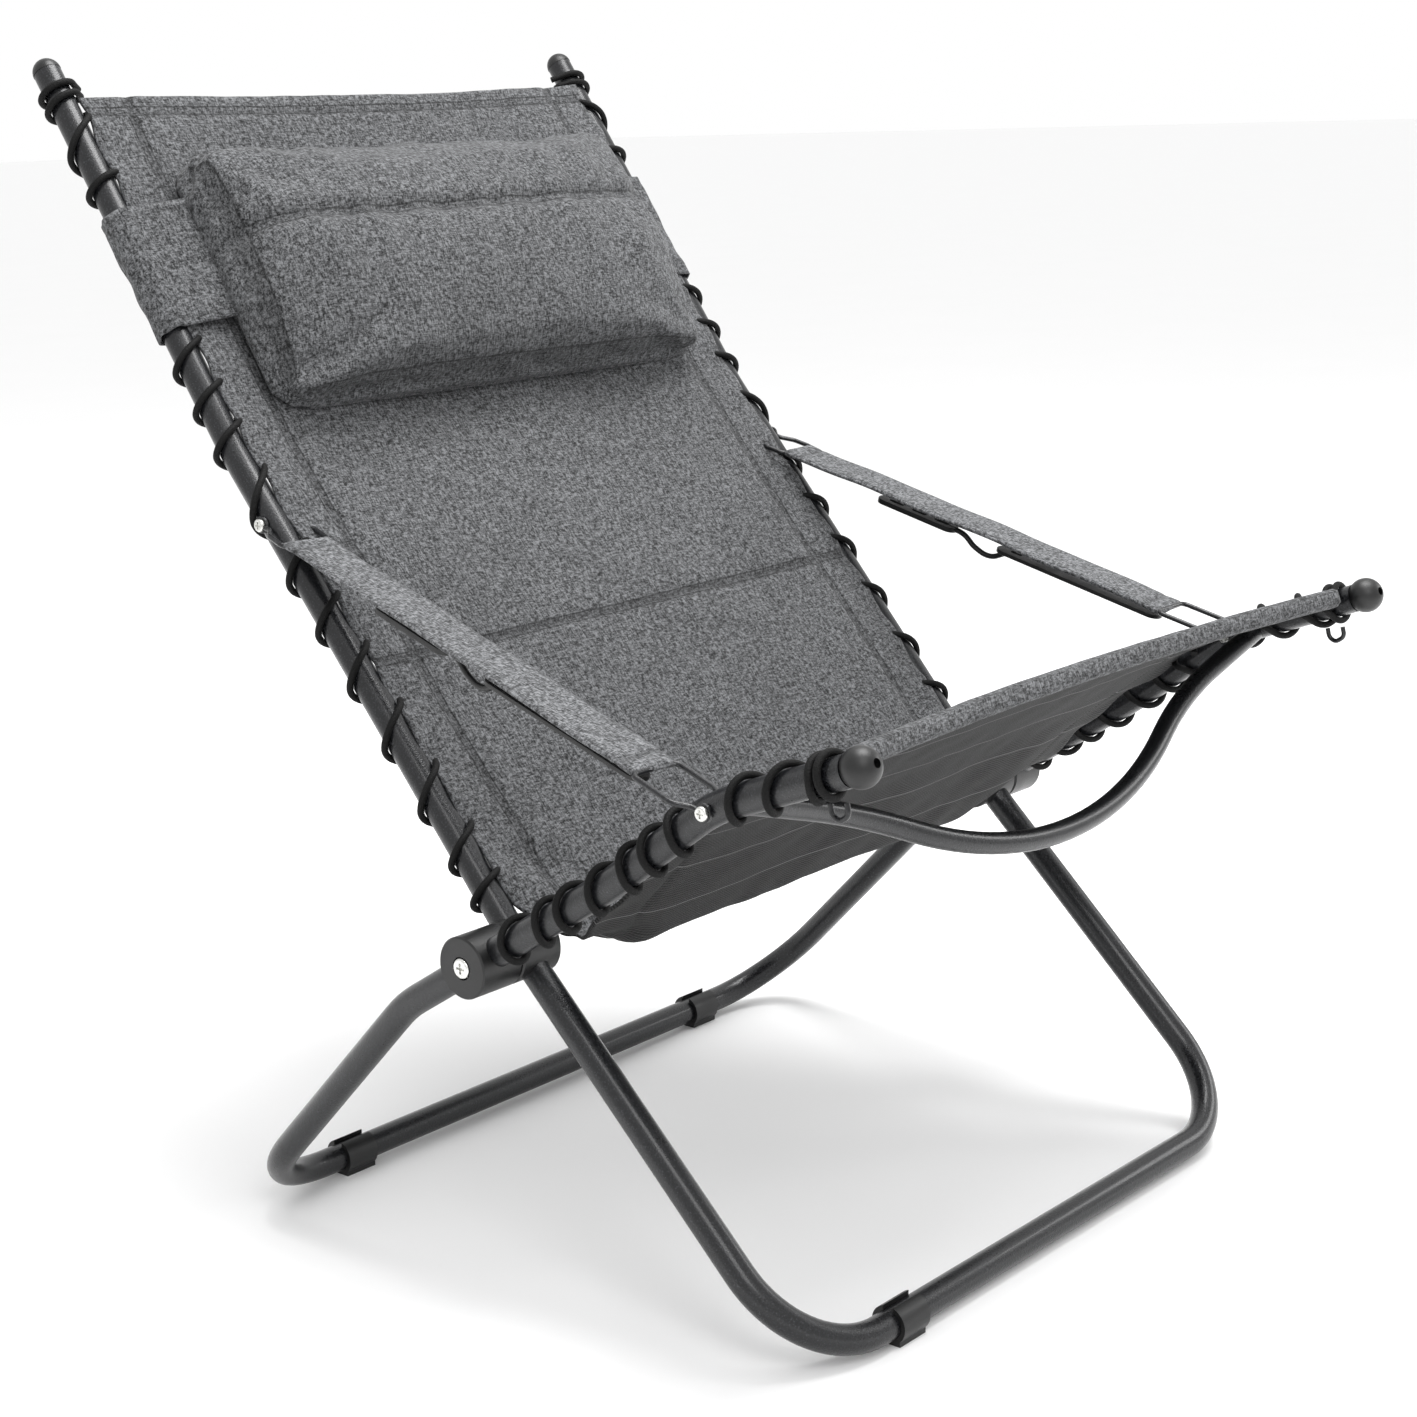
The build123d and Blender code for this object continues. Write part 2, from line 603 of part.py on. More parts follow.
SINGLE = {
    "front_leg_frame": front_leg_frame,
    "rear_leg_frame": rear_leg_frame,
    "seat_bow": seat_bow,
    "sling_back": sling_back,
    "sling_seat": sling_seat,
    "sling_crease": sling_crease,
    "headrest_pillow": headrest_pillow,
}
PAIRED = {
    "back_tube": back_tube,
    "seat_rail": seat_rail,
    "hub_inner": hub_inner,
    "hub_outer": hub_outer,
    "hub_washer": hub_washer,
    "hub_bolt": hub_bolt,
    "hub_nut": hub_nut,
    "back_cap": back_cap,
    "seat_cap": seat_cap,
    "arm_bail_rear": arm_bail_rear,
    "arm_bail_front": arm_bail_front,
    "arm_sleeve": arm_sleeve,
    "arm_adjuster": arm_adjuster,
    "headrest_band": headrest_band,
    "back_lacing": back_lacing,
    "head_lacing": head_lacing,
    "seat_lacing": seat_lacing,
    "tip_lacing": tip_lacing,
    "cord_hook": cord_hook,
}

for name, make in SINGLE.items():
    save(name, make())
for name, make in PAIRED.items():
    save_pair(name, make())
save_pair("arm_bolt_rear", arm_bolt(BACK_X, ARM_REAR))
save_pair("arm_bolt_front", arm_bolt(SEAT_X, ARM_FRONT))
save("foot_clip_front_right", foot_clip(FRONT_CLIP_X, FRONT_BAR))
save_pair("foot_clip_rear", foot_clip(REAR_CLIP_X, REAR_BAR))
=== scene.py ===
"""The looks of the folding camp lounge chair: sling, pillow, strap arms, materials and light.

Side-view points are (y, z) in millimetres from the hub axis. Everything else is in metres, in
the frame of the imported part: +X to the sitter's left, -Y the way the sitter faces, +Z up.
"""

import json
import math

import bpy
import numpy as np
from mathutils import Matrix, Vector


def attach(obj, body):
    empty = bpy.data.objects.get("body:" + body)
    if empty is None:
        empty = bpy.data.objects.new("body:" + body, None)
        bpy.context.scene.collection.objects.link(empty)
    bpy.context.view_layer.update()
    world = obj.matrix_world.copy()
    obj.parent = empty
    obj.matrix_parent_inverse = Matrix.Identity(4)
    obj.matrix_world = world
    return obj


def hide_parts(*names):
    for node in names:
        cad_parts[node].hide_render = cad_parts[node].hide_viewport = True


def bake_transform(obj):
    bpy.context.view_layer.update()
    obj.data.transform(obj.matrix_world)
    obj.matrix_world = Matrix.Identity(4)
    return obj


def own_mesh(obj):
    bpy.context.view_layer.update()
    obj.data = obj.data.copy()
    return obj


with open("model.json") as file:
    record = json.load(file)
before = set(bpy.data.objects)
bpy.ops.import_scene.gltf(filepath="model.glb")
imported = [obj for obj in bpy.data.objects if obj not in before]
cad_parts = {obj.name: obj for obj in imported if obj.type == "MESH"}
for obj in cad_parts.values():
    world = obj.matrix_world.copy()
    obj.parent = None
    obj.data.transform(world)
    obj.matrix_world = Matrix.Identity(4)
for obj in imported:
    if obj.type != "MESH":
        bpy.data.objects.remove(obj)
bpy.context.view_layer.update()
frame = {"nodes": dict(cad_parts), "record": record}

# ---- the part's own dimensions, in millimetres and degrees ----
HUB_Y, HUB_Z = -67.49, 267.0
BACK_X, SEAT_X = 286.0, 324.0
BACK_DEG, HEAD_DEG = 50.1, 55.4
KINK_R = 438.0
SEAT_DEG, THIGH_DEG, TIP_DEG = 148.5, 144.1, 160.0
KNEE_R, THIGH_LENGTH = 150.0, 119.0
ARM_REAR_R = 375.0
ARM_FRONT_R, ARM_FRONT_DEG = 268.6, 146.9
REAR_BAIL, FRONT_BAIL = 41.0, 60.0


def polar(radius, angle):
    a = math.radians(angle)
    return np.array([radius * math.cos(a), radius * math.sin(a)])


def step(point, length, angle):
    return np.asarray(point) + polar(length, angle)


def place(x, point):
    """A side-view point at the lateral place x, as a vector in metres."""
    return Vector((x, HUB_Y + point[0], HUB_Z + point[1])) / 1000.0


KINK = polar(KINK_R, BACK_DEG)
KNEE = polar(KNEE_R, SEAT_DEG)
THIGH = step(KNEE, THIGH_LENGTH, THIGH_DEG)
ARM_REAR = polar(ARM_REAR_R, BACK_DEG)
ARM_FRONT = polar(ARM_FRONT_R, ARM_FRONT_DEG)


CAMERA_AT = (-1.50584, -1.33227, 0.84772)
CAMERA_LENS = 65.236      # on a sensor 36 mm wide
CAMERA_AZIMUTH, CAMERA_HEIGHT, CAMERA_ROLL = -48.55, 13.17, -1.877


def camera():
    """Looks at the chair from the sitter's right, in front and a little above."""
    data = bpy.data.cameras.new("camera")
    data.sensor_width = 36.0
    data.lens = CAMERA_LENS
    cam = bpy.data.objects.new("camera", data)
    bpy.context.scene.collection.objects.link(cam)
    a, e, r = (math.radians(v) for v in (CAMERA_AZIMUTH, CAMERA_HEIGHT, CAMERA_ROLL))
    back = Vector((math.sin(a) * math.cos(e), -math.cos(a) * math.cos(e), math.sin(e)))
    right = Vector((math.cos(a), math.sin(a), 0.0))
    up = back.cross(right)
    x_axis = math.cos(r) * right + math.sin(r) * up
    y_axis = -math.sin(r) * right + math.cos(r) * up
    cam.matrix_world = Matrix.Translation(CAMERA_AT) @ Matrix(
        (
            (x_axis.x, y_axis.x, back.x, 0.0),
            (x_axis.y, y_axis.y, back.y, 0.0),
            (x_axis.z, y_axis.z, back.z, 0.0),
            (0.0, 0.0, 0.0, 1.0),
        )
    )
    data.clip_start, data.clip_end = 0.05, 100.0
    bpy.context.scene.camera = cam


camera()


# ---- shader helpers ----
class Shader:
    """A node material, with short calls for the nodes it uses."""

    def __init__(self, name):
        self.mat = bpy.data.materials.new(name)
        self.mat.use_nodes = True
        self.tree = self.mat.node_tree
        self.bsdf = self.tree.nodes["Principled BSDF"]

    def node(self, kind, inputs=(), **settings):
        made = self.tree.nodes.new(kind)
        for key, value in settings.items():
            setattr(made, key, value)
        for key, value in dict(inputs).items():
            self.put(made.inputs[key], value)
        return made

    def put(self, socket, value):
        if isinstance(value, bpy.types.NodeSocket):
            self.tree.links.new(value, socket)
        else:
            socket.default_value = value

    def coords(self, kind="Object", scale=(1.0, 1.0, 1.0)):
        out = self.node("ShaderNodeTexCoord").outputs[kind]
        mapped = self.node("ShaderNodeMapping", {"Vector": out, "Scale": scale})
        return mapped.outputs["Vector"]

    def noise(self, vector, scale, detail=2.0, rough=0.5):
        inputs = {"Vector": vector, "Scale": scale, "Detail": detail, "Roughness": rough}
        return self.node("ShaderNodeTexNoise", inputs).outputs["Fac"]

    def math(self, operation, a, b=0.0, c=0.0):
        made = self.node("ShaderNodeMath", operation=operation)
        for socket, value in zip(made.inputs, (a, b, c)):
            self.put(socket, value)
        return made.outputs[0]

    def spread(self, value, low, high, to_low=0.0, to_high=1.0):
        inputs = {"Value": value, "From Min": low, "From Max": high, "To Min": to_low}
        inputs["To Max"] = to_high
        return self.node("ShaderNodeMapRange", inputs).outputs["Result"]

    def ramp(self, fac, stops):
        made = self.node("ShaderNodeValToRGB", {"Fac": fac})
        elements = made.color_ramp.elements
        while len(elements) < len(stops):
            elements.new(0.5)
        for element, (position, shade) in zip(elements, stops):
            element.position = position
            element.color = (*shade, 1.0)
        return made.outputs["Color"]

    def tint(self, colour, factor):
        """The colour times a value."""
        made = self.node("ShaderNodeMix", data_type="RGBA", blend_type="MULTIPLY")
        self.put(made.inputs[0], 1.0)
        self.put(made.inputs[6], colour)
        self.put(made.inputs[7], factor)
        return made.outputs[2]

    def bump(self, height, distance, strength=1.0, normal=None):
        inputs = {"Height": height, "Distance": distance, "Strength": strength}
        if normal is not None:
            inputs["Normal"] = normal
        return self.node("ShaderNodeBump", inputs).outputs["Normal"]

    def finish(self, **values):
        for key, value in values.items():
            self.put(self.bsdf.inputs[key.replace("_", " ")], value)
        return self.mat


def grey(value, cool=0.0):
    return (value * (1.0 - cool), value, value * (1.0 + 2.0 * cool))


STITCH_OFF = 0.0035       # each line of stitches, beside its seam
STITCH_HALF = 0.0011


def melange(name, dark, light):
    """Woven melange cloth: speckled yarn in two directions, with a fine weave, and painted shade in
    its seams.
    """
    s = Shader(name)
    across = s.noise(s.coords(scale=(1.0, 0.3, 0.3)), 780.0, 3.0, 0.7)
    down = s.noise(s.coords(scale=(0.3, 1.0, 1.0)), 780.0, 3.0, 0.7)
    blotch = s.noise(s.coords(), 300.0, 3.0, 0.6)
    broad = s.noise(s.coords(), 9.0, 2.0, 0.5)
    yarn = s.math("MULTIPLY_ADD", across, 0.4, s.math("MULTIPLY", down, 0.4))
    yarn = s.math("MULTIPLY_ADD", blotch, 0.2, yarn)
    colour = s.ramp(yarn, [(0.42, grey(dark, 0.02)), (0.5, grey(0.4 * (dark + light), 0.02)),
                           (0.58, grey(light, 0.02))])
    seam = s.node("ShaderNodeAttribute", attribute_name="seam").outputs["Fac"]
    stitch = s.node("ShaderNodeAttribute", attribute_name="stitch").outputs["Fac"]
    off_line = s.math("ABSOLUTE", s.math("SUBTRACT", stitch, STITCH_OFF))
    line = s.spread(off_line, STITCH_HALF, 0.4 * STITCH_HALF)
    # Painted shade: the colour is darkened where the 'seam' attribute says a point lies deep in a
    # seam's groove, and on the two lines of stitches.
    shade = s.math("SUBTRACT", s.spread(broad, 0.3, 0.7, 0.94, 1.06),
                   s.math("MAXIMUM", s.math("MULTIPLY", seam, 0.5), s.math("MULTIPLY", line, 0.62)))
    normal = s.bump(yarn, 0.0006, 0.9)
    return s.finish(Base_Color=s.tint(colour, shade), Roughness=0.95, Normal=normal,
                    Sheen_Weight=0.08, Sheen_Roughness=0.6, Specular_IOR_Level=0.15)


def ribbed_mesh(name):
    """Dark open mesh: ribs along the sling, with thin lines of piping painted lighter, partly their
    own tone and partly painted highlight.
    """
    s = Shader(name)
    uv = s.node("ShaderNodeUVMap", uv_map="UVMap").outputs["UV"]
    parts = s.node("ShaderNodeSeparateXYZ", {"Vector": uv})
    x, y = parts.outputs["X"], parts.outputs["Y"]
    rib = s.math("SINE", s.math("MULTIPLY", y, 2 * math.pi / 0.0032))
    cell = s.math("SINE", s.math("MULTIPLY", x, 2 * math.pi / 0.0026))
    weave = s.math("MULTIPLY_ADD", cell, 0.35, rib)
    # lines of piping, brightened many times: partly their own lighter tone, partly painted highlight
    line = s.math("PINGPONG", y, 0.028)
    line = s.spread(line, 0.0012, 0.0006)
    grain = s.noise(s.coords(), 300.0, 3.0, 0.6)
    base = s.ramp(s.spread(weave, -1.2, 1.2), [(0.2, grey(0.004)), (0.8, grey(0.024))])
    value = s.math("MULTIPLY_ADD", line, 5.0, s.spread(grain, 0.3, 0.7, 0.7, 1.3))
    normal = s.bump(weave, 0.0005, 0.8)
    return s.finish(Base_Color=s.tint(base, value), Roughness=0.75, Normal=normal,
                    Specular_IOR_Level=0.3)


def powder_coat(name):
    """Graphite metallic powder coat: small pits and bright flakes."""
    s = Shader(name)
    flake = s.node("ShaderNodeTexVoronoi", {"Vector": s.coords(), "Scale": 900.0})
    speck = s.noise(s.coords(), 700.0, 2.0, 0.6)
    wear = s.noise(s.coords(), 14.0, 4.0, 0.6)
    colour = s.ramp(speck, [(0.38, (0.003, 0.0033, 0.004)), (0.58, (0.006, 0.0064, 0.008)),
                            (0.74, (0.036, 0.038, 0.042))])
    rough = s.math("ADD", s.spread(speck, 0.3, 0.7, 0.24, 0.38),
                   s.spread(wear, 0.4, 0.7, 0.0, 0.08))
    normal = s.bump(flake.outputs["Distance"], 0.0003, 0.5)
    return s.finish(Base_Color=colour, Metallic=0.25, Roughness=rough, Normal=normal,
                    Specular_IOR_Level=0.45, Coat_Weight=0.3, Coat_Roughness=0.14)


def plastic(name, value, rough=0.5):
    """Moulded plastic with a fine spark texture and rubbed patches."""
    s = Shader(name)
    spark = s.noise(s.coords(), 1400.0, 2.0, 0.6)
    rub = s.noise(s.coords(), 40.0, 4.0, 0.6)
    colour = s.ramp(rub, [(0.3, grey(value * 0.85, 0.02)), (0.7, grey(value * 1.2, 0.02))])
    normal = s.bump(spark, 0.0002, 0.5)
    return s.finish(Base_Color=colour, Roughness=s.spread(rub, 0.3, 0.7, rough - 0.06, rough + 0.1),
                    Normal=normal)


def zinc(name):
    """Bright zinc plate, with fine dull spots."""
    s = Shader(name)
    spots = s.noise(s.coords(), 500.0, 4.0, 0.6)
    colour = s.ramp(spots, [(0.3, (0.55, 0.55, 0.53)), (0.7, (0.85, 0.85, 0.82))])
    normal = s.bump(spots, 0.0001, 0.4)
    return s.finish(Base_Color=colour, Metallic=1.0, Roughness=s.spread(spots, 0.3, 0.7, 0.2, 0.4),
                    Normal=normal)


def braid(name):
    """Black elastic cord with a braided cover."""
    s = Shader(name)
    cell = s.node("ShaderNodeTexVoronoi", {"Vector": s.coords(), "Scale": 900.0})
    fuzz = s.noise(s.coords(), 1500.0, 2.0, 0.6)
    colour = s.ramp(cell.outputs["Distance"], [(0.0, grey(0.005)), (0.6, grey(0.002))])
    normal = s.bump(cell.outputs["Distance"], 0.0004, 0.7)
    return s.finish(Base_Color=colour, Roughness=s.spread(fuzz, 0.3, 0.7, 0.6, 0.8), Normal=normal,
                    Specular_IOR_Level=0.2)


CLOTH = melange("cloth", 0.008, 0.158)
# the sling's cloth painted lighter for the arms, as painted light for the top light falling more
# squarely on them
ARM_CLOTH_PAINTED_LIGHTER = melange("arm_cloth_painted_lighter", 0.020, 0.215)
MESH = ribbed_mesh("mesh")
PAINT = powder_coat("powder_coat")
HUB = plastic("hub_plastic", 0.003, 0.38)
BLACK = plastic("black_plastic", 0.004, 0.4)
ZINC = zinc("zinc")
CORD = braid("cord")


def dress_frame():
    """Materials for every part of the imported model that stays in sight."""
    looks = {
        "frame_paint": PAINT,
        "bail_steel": PAINT,
        "hub_plastic": HUB,
        "bolt_zinc": ZINC,
        "cord": CORD,
        "sling_fabric": CLOTH,
        "arm_fabric": ARM_CLOTH_PAINTED_LIGHTER,
        "adjuster_plastic": BLACK,
    }
    slot_of = {p["node"]: p["material_slot"] for p in frame["record"]["subparts"]}
    for node, obj in frame["nodes"].items():
        for slot in obj.material_slots:
            slot.material = looks[slot_of[node]]


dress_frame()


# ---- mesh helpers ----
def new_mesh(name, vertices, faces, materials, smooth=True):
    mesh = bpy.data.meshes.new(name)
    mesh.from_pydata([tuple(v) for v in vertices], [], faces)
    for material in materials:
        mesh.materials.append(material)
    mesh.polygons.foreach_set("use_smooth", [smooth] * len(mesh.polygons))
    mesh.update()
    obj = bpy.data.objects.new(name, mesh)
    bpy.context.scene.collection.objects.link(obj)
    return obj


def set_seam_shade_and_stitches(obj, values, distance=None):
    """For the cloth's shading: how deep in a seam each vertex lies, from 0 to 1, darkening the
    colour there as painted shade, and how far from the seam, for its two lines of stitches.
    """
    layer = obj.data.attributes.new("seam", "FLOAT", "POINT")
    layer.data.foreach_set("value", np.asarray(values, np.float32))
    if distance is not None:
        layer = obj.data.attributes.new("stitch", "FLOAT", "POINT")
        layer.data.foreach_set("value", np.asarray(distance, np.float32))


def smoothstep(low, high, value):
    t = np.clip((np.asarray(value, float) - low) / (high - low), 0.0, 1.0)
    return t * t * (3.0 - 2.0 * t)


def groove(value, centre, width):
    """1 at the centre, falling to 0 at width away."""
    return 1.0 - smoothstep(0.0, width, np.abs(np.asarray(value) - centre))


def waves(x, y, count, low, high, seed):
    """A smooth random field: sines of random direction with wavelengths from low to high."""
    random = np.random.default_rng(seed)
    total = np.zeros(np.broadcast(x, y).shape)
    for _ in range(count):
        length = random.uniform(low, high)
        angle, phase = random.uniform(0, math.pi), random.uniform(0, 2 * math.pi)
        total += np.sin(2 * math.pi * (x * math.cos(angle) + y * math.sin(angle)) / length + phase)
    return total / math.sqrt(count)


def two_sided_faces(rows, columns):
    """Faces of a closed cloth of two grids: the upper grid's, the lower grid's and the rim's."""
    count = rows * columns
    index = np.arange(count).reshape(rows, columns)
    upper = []
    for i in range(rows - 1):
        for j in range(columns - 1):
            upper.append((index[i, j], index[i, j + 1], index[i + 1, j + 1], index[i + 1, j]))
    lower = [(a + count, d + count, c + count, b + count) for a, b, c, d in upper]
    ring = [*index[0, :-1], *index[:-1, -1], *index[-1, :0:-1], *index[:0:-1, 0]]
    rim = [(b, a, a + count, b + count) for a, b in zip(ring, ring[1:] + ring[:1])]
    return upper, lower, rim


def rounded_path(points, radii, spacing):
    """Points every spacing along straight runs joined by arcs, and the tangents there."""
    pieces = [np.array([points[0]])]
    for before, at, after, radius in zip(points, points[1:], points[2:], radii):
        u = (before - at) / np.linalg.norm(before - at)
        w = (after - at) / np.linalg.norm(after - at)
        half = 0.5 * math.acos(np.clip(u @ w, -1, 1))
        reach = radius / math.tan(half)
        centre = at + (u + w) / np.linalg.norm(u + w) * radius / math.sin(half)
        a0 = math.atan2(*(at + u * reach - centre)[::-1])
        a1 = math.atan2(*(at + w * reach - centre)[::-1])
        turn = (a1 - a0 + math.pi) % (2 * math.pi) - math.pi
        arc = a0 + turn * np.linspace(0, 1, 24)
        pieces.append(centre + radius * np.column_stack([np.cos(arc), np.sin(arc)]))
    pieces.append(np.array([points[-1]]))
    line = np.vstack(pieces)
    runs = np.concatenate([[0], np.cumsum(np.linalg.norm(np.diff(line, axis=0), axis=1))])
    where = np.linspace(0, runs[-1], int(runs[-1] / spacing) + 1)
    out = np.column_stack([np.interp(where, runs, line[:, k]) for k in (0, 1)])
    tangent = np.gradient(out, axis=0)
    for _ in range(2):
        tangent[1:-1] = (tangent[:-2] + 2 * tangent[1:-1] + tangent[2:]) / 4
    tangent /= np.linalg.norm(tangent, axis=1)[:, None]
    return out, tangent, where


# ---- sling ----
SLING_LIFT = 10.6         # sling's middle surface in front of the back tubes' plane
SLING_TOP = 318.0         # kink to the sling's top edge
CREASE = np.array([-28.4, -21.1])
CREASE_BEND = 25.0
SEAT_END = 112.0          # last rail bend to the sling's front edge, at the sides
EDGE_X = 282.0
HEM_X = 239.0
CROSS_SEAM = 247.0        # hub to the seam across the back
PANEL_HALF = 3.0          # half thickness of the padded panel
HEM_HALF = 1.3
LIP_HALF = 7.5
LIP_WRAP = 26.0           # the cloth comes this far round the front edge, over the mesh
EDGE_WAVE = 55.0          # scallops of the edge, between turns of the cord
SEAT_FLARE = 26.0         # the seat's sling is this much wider at each side than the back's
CREASE_HALF = 261.0       # half width at the crease, between the back tubes
TOP_HEM = 14.0


def sling_profile():
    """The sling's middle line in the side view, from the top of the back to the seat's front."""
    points = [
        step(step(KINK, SLING_TOP, HEAD_DEG), SLING_LIFT, HEAD_DEG + 90.0),
        step(KINK, SLING_LIFT, 0.5 * (BACK_DEG + HEAD_DEG) + 90.0),
        CREASE,
        step(KNEE, 4.0, SEAT_DEG - 90.0),
        step(THIGH, 6.0, 0.5 * (THIGH_DEG + TIP_DEG) - 90.0),
        step(step(THIGH, SEAT_END, TIP_DEG), 5.0, TIP_DEG - 90.0),
    ]
    return rounded_path(points, [500.0, CREASE_BEND, 400.0, 260.0], 4.0)


def sling():
    """The laced sling: padded cloth above, ribbed mesh below, one piece over both frames."""
    line, tangent, run = sling_profile()
    length = run[-1]
    crease_run = run[np.argmin(line[:, 1])]
    half_width = EDGE_X + SEAT_FLARE * smoothstep(crease_run + 110.0, crease_run + 200.0, run)
    half_width -= (EDGE_X - CREASE_HALF) * np.exp(-(((run - crease_run) / 42.0) ** 4))
    lateral = np.linspace(-1.0, 1.0, 141)
    x = half_width[:, None] * lateral[None, :]
    v = np.broadcast_to(run[:, None], x.shape)
    side = np.abs(x)
    edge = half_width[:, None] - side
    # seams and thickness; the seams' grooves also darken the cloth's colour as painted shade
    hem = half_width[:, None] - (EDGE_X - HEM_X)
    side_seam = groove(side, hem, 5.0)
    seam_run = crease_run - CROSS_SEAM - 20.0
    cross = groove(v, seam_run, 6.0)
    top_seam = groove(v, 16.0, 4.0)
    seam = np.maximum.reduce([side_seam, cross, 0.6 * top_seam])
    padded = smoothstep(-2.0, 14.0, hem - side)
    half = HEM_HALF + (PANEL_HALF - HEM_HALF) * padded
    half = half * (1.0 - 0.75 * seam) + 0.2
    front = length - v
    lip = smoothstep(30.0, 8.0, front)
    rounded = np.sqrt(np.clip(1 - ((6.0 - front) / 7.0).clip(0) ** 2, 0.02, 1))
    half = half + (LIP_HALF - half) * lip * rounded
    # the lie of the cloth
    lift = 0.9 * waves(x, v, 7, 110.0, 240.0, 1) * smoothstep(0.0, 60.0, edge)
    lift += 0.35 * waves(x, v, 9, 30.0, 70.0, 2)
    near_edge = smoothstep(45.0, 0.0, edge)
    lift += 1.6 * near_edge * np.sin(2 * math.pi * v / EDGE_WAVE + 1.3 * np.sign(x))
    corner = np.exp(-((v - crease_run + 40.0) / 70.0) ** 2) * smoothstep(110.0, 10.0, edge)
    lift += 3.5 * corner * np.sin((v * 0.75 + side * 0.55) / 7.5 + np.sign(x))
    hollow = smoothstep(60.0, 300.0, crease_run - v) * smoothstep(0.0, 200.0, v)
    lift -= 4.0 * (1 - (x / EDGE_X) ** 2) * hollow
    # front edge: bowed back and a little raised in the middle
    middle = 1.0 - (side / half_width[:, None]) ** 2
    pull = 20.0 * middle * smoothstep(length - 260.0, length, v)
    raised = 6.0 * middle * smoothstep(length - 120.0, length - 10.0, v)
    gather = smoothstep(70.0, 5.0, edge) * np.exp(-(((v - crease_run) / 55.0) ** 2))
    lift += 14.0 * gather
    lift = lift * (1 - 0.6 * lip) + raised
    # top corners pulled in, edges scalloped between the turns of the cord
    x = x * (1.0 - 0.012 * smoothstep(60.0, 0.0, v))
    scallop = 1.2 + 1.2 * np.sin(2 * math.pi * v / EDGE_WAVE)
    x = x - np.sign(x) * smoothstep(14.0, 0.0, edge) * scallop
    top_sag = 6.0 * middle * smoothstep(80.0, 0.0, v)
    normal = np.column_stack([tangent[:, 1], -tangent[:, 0]])
    move = (top_sag - pull)[..., None] * tangent[:, None, :]
    centre = line[:, None, :] + move + lift[..., None] * normal[:, None, :]
    surfaces = []
    for sign in (1.0, -1.0):
        yz = centre + (sign * half)[..., None] * normal[:, None, :]
        points = np.dstack([x, HUB_Y + yz[..., 0], HUB_Z + yz[..., 1]]) / 1000.0
        surfaces.append(points.reshape(-1, 3))
    count = x.size
    uv_of = np.column_stack([x.ravel() / 1000.0, v.ravel() / 1000.0])
    upper, lower, rim = two_sided_faces(*x.shape)
    top_faces, under_faces = len(upper), len(upper) + len(lower)
    faces = upper + lower + rim
    obj = new_mesh("sling", np.vstack(surfaces), faces, [CLOTH, MESH])
    uv = obj.data.uv_layers.new(name="UVMap")
    corners = np.zeros(len(obj.data.loops), int)
    obj.data.loops.foreach_get("vertex_index", corners)
    uv.data.foreach_set("uv", uv_of[corners % count].ravel())
    first = np.array([p.vertices[0] for p in obj.data.polygons]) % count
    behind_lip = front.ravel()[first] > LIP_WRAP
    under = np.zeros(len(first), int)
    under[top_faces:under_faces] = behind_lip[top_faces:under_faces]
    on_seat = v.ravel()[first] > crease_run - 30.0
    under[under_faces:] = (behind_lip & on_seat)[under_faces:]
    obj.data.polygons.foreach_set("material_index", under)
    off_seam = np.minimum.reduce([np.abs(side - hem), np.abs(v - seam_run), np.abs(v - TOP_HEM)])
    off_seam = off_seam.ravel() / 1000.0
    # painted shade in the seams' grooves, and the distances to them for the stitches
    set_seam_shade_and_stitches(obj, np.concatenate([seam.ravel(), 0 * seam.ravel()]),
             np.concatenate([off_seam, 0 * off_seam + 1.0]))
    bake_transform(obj)
    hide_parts("sling_back", "sling_seat", "sling_crease")
    return obj


sling()


# ---- pillow ----
PILLOW_FOOT = 22.0        # kink to the pillow's lower edge
PILLOW_H = 226.0
PILLOW_HALF = 236.0
PILLOW_SEAM = 140.0       # lower edge to the quilted seam
PILLOW_DEPTH = 0.036      # of the gusset
PILLOW_VOXEL = 0.0043
PILLOW_CROWN = 0.030      # of the front panel, above the gusset
PILLOW_FLARE = 0.03       # wider at the foot
RIM_INSET = 0.005         # stitches of the front panel, from its edge
HEAD_ALONG = Vector((0.0, math.cos(math.radians(HEAD_DEG)), math.sin(math.radians(HEAD_DEG))))
HEAD_OUT = Vector((0.0, -HEAD_ALONG.z, HEAD_ALONG.y))


def head_frame(lift):
    """Local X across, Y up the back, Z out towards the sitter, from the pillow's foot."""
    foot = step(step(KINK, PILLOW_FOOT, HEAD_DEG), lift, HEAD_DEG + 90.0)
    axes = Matrix((Vector((1, 0, 0)), HEAD_ALONG, HEAD_OUT)).transposed().to_4x4()
    return Matrix.Translation(place(0, foot)) @ axes


def simulate(obj, pins, pressure, frames, cap):
    """Blows a closed cloth up from inside, holds its pinned vertices, and caps the movement."""
    group = obj.vertex_groups.new(name="pins")
    group.add([int(i) for i in np.nonzero(pins)[0]], 1.0, "REPLACE")
    start = np.array([v.co for v in obj.data.vertices])
    cloth = obj.modifiers.new("cloth", "CLOTH")
    cloth.settings.use_pressure = True
    cloth.settings.uniform_pressure_force = pressure
    cloth.settings.effector_weights.gravity = 0.0
    cloth.settings.vertex_group_mass = "pins"
    cloth.settings.tension_stiffness = 12.0
    cloth.settings.compression_stiffness = 6.0
    cloth.settings.shear_stiffness = 4.0
    cloth.settings.bending_stiffness = 0.08
    cloth.point_cache.frame_start = 1
    cloth.point_cache.frame_end = frames
    scene = bpy.context.scene
    for number in range(1, frames + 1):
        scene.frame_set(number)
    evaluated = obj.evaluated_get(bpy.context.evaluated_depsgraph_get())
    end = np.array([v.co for v in evaluated.data.vertices])
    obj.modifiers.remove(cloth)
    scene.frame_set(1)
    move = end - start
    size = np.linalg.norm(move, axis=1, keepdims=True)
    move *= np.minimum(1.0, cap / np.maximum(size, 1e-9))
    obj.data.vertices.foreach_set("co", (start + move).ravel())
    obj.data.update()
    obj.vertex_groups.remove(group)


